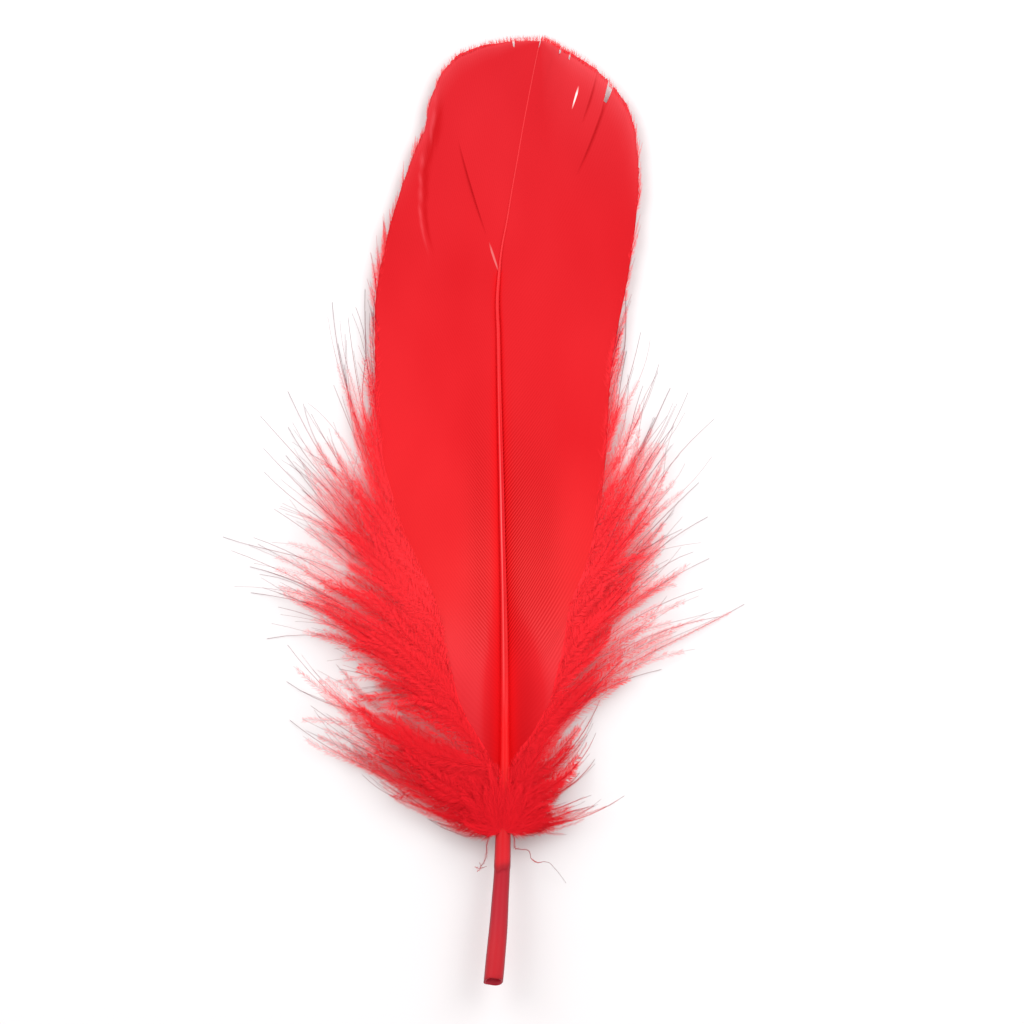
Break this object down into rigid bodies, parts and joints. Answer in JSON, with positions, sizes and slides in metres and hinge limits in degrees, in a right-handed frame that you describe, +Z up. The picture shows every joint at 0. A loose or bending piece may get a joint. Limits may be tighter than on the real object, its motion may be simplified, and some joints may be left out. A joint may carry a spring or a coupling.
{
  "type": "goose feather",
  "caption": "Dyed goose feather lying flat: cut quill, grooved shaft, two vanes and a skirt of soft down.",
  "frame": {"origin": "on the surface that the feather lies on, in the middle of its bounding box", "axes": "+Y along the feather towards its tip, +Z up out of its hollow side, +X to the right"},
  "size_m": [0.087, 0.1597, 0.0083],
  "materials": {
    "feather": "dyed feather keratin, soft satin",
    "quill": "dyed horn-like keratin, slightly see-through, glossy",
    "vane": "close parallel barbs, satin",
    "down": "loose downy barbs, soft and matte"
  },
  "bodies": {
    "root": {"feather": "feather"}
  },
  "joints": []
}
